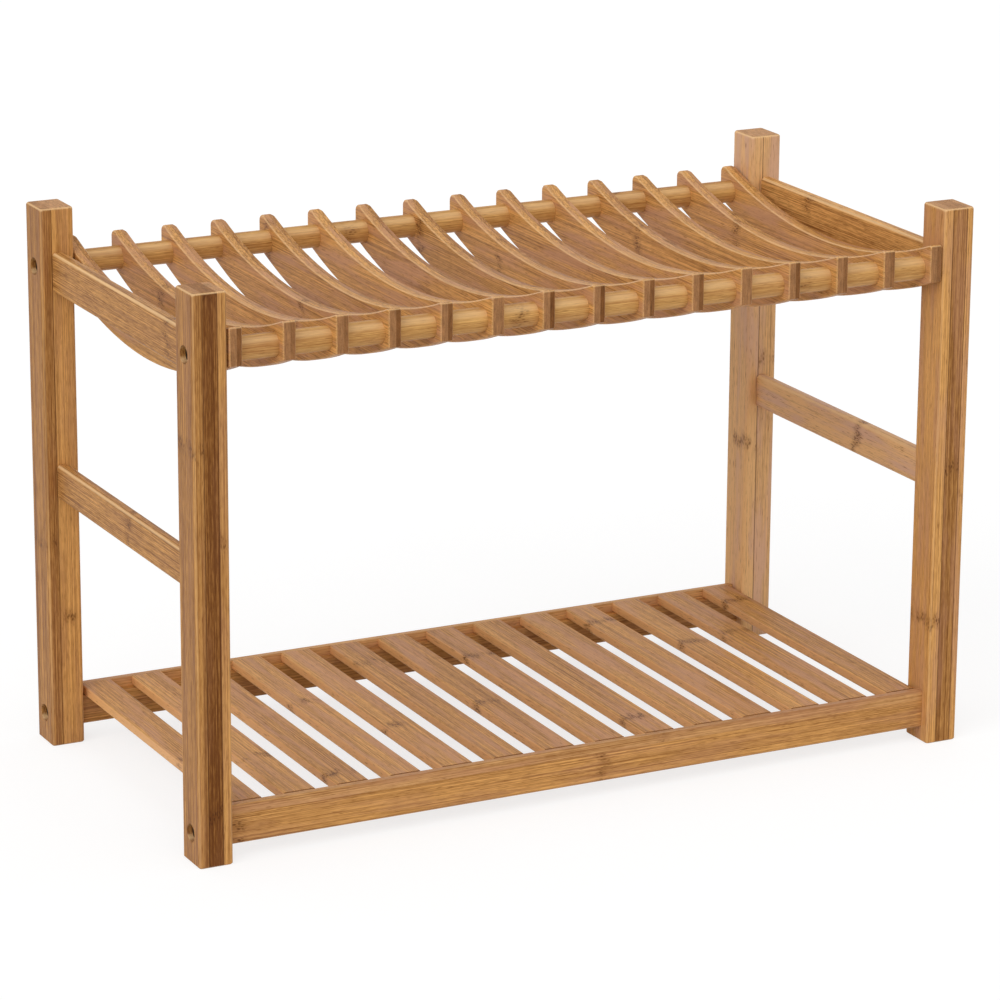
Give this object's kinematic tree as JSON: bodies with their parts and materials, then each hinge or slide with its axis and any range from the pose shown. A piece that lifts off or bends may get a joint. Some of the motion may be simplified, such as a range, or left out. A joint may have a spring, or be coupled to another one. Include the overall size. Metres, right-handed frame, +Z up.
{
  "type": "dish rack",
  "caption": "Bamboo dish rack: square posts carry a cradle of curved plate ribs on round dowels above a slatted lower shelf, with side rails at each end.",
  "frame": {"origin": "on the floor, in the middle of the rack's footprint", "axes": "+X along the rack to the right, +Y to the back, +Z up"},
  "size_m": [0.514, 0.258, 0.342],
  "materials": {
    "post_bamboo": "satin clear-oiled bamboo",
    "rib_bamboo": "satin clear-oiled bamboo",
    "slat_bamboo": "satin clear-oiled bamboo",
    "dowel_bamboo": "satin clear-oiled bamboo",
    "shelf_rail_bamboo": "satin clear-oiled bamboo",
    "side_rail_bamboo": "satin clear-oiled bamboo",
    "pin_wood": "satin clear-oiled bamboo",
    "bolt_steel": "dark"
  },
  "bodies": {
    "root": {"dowel_bolts": "bolt_steel", "front_dowel": "dowel_bamboo", "front_left_post": "post_bamboo", "front_right_post": "post_bamboo", "front_shelf_rail": "shelf_rail_bamboo", "front_shelf_strip": "shelf_rail_bamboo", "middle_left_rail": "side_rail_bamboo", "middle_right_rail": "side_rail_bamboo", "rear_dowel": "dowel_bamboo", "rear_left_post": "post_bamboo", "rear_right_post": "post_bamboo", "rear_shelf_rail": "shelf_rail_bamboo", "rear_shelf_strip": "shelf_rail_bamboo", "rib_01": "rib_bamboo", "rib_02": "rib_bamboo", "rib_03": "rib_bamboo", "rib_04": "rib_bamboo", "rib_05": "rib_bamboo", "rib_06": "rib_bamboo", "rib_07": "rib_bamboo", "rib_08": "rib_bamboo", "rib_09": "rib_bamboo", "rib_10": "rib_bamboo", "rib_11": "rib_bamboo", "rib_12": "rib_bamboo", "rib_13": "rib_bamboo", "rib_14": "rib_bamboo", "rib_15": "rib_bamboo", "shelf_bolts": "bolt_steel", "side_rail_pins": "pin_wood", "slat_01": "slat_bamboo", "slat_02": "slat_bamboo", "slat_03": "slat_bamboo", "slat_04": "slat_bamboo", "slat_05": "slat_bamboo", "slat_06": "slat_bamboo", "slat_07": "slat_bamboo", "slat_08": "slat_bamboo", "slat_09": "slat_bamboo", "slat_10": "slat_bamboo", "slat_11": "slat_bamboo", "slat_12": "slat_bamboo", "slat_13": "slat_bamboo", "slat_14": "slat_bamboo", "upper_left_rail": "side_rail_bamboo", "upper_right_rail": "side_rail_bamboo"}
  },
  "joints": []
}
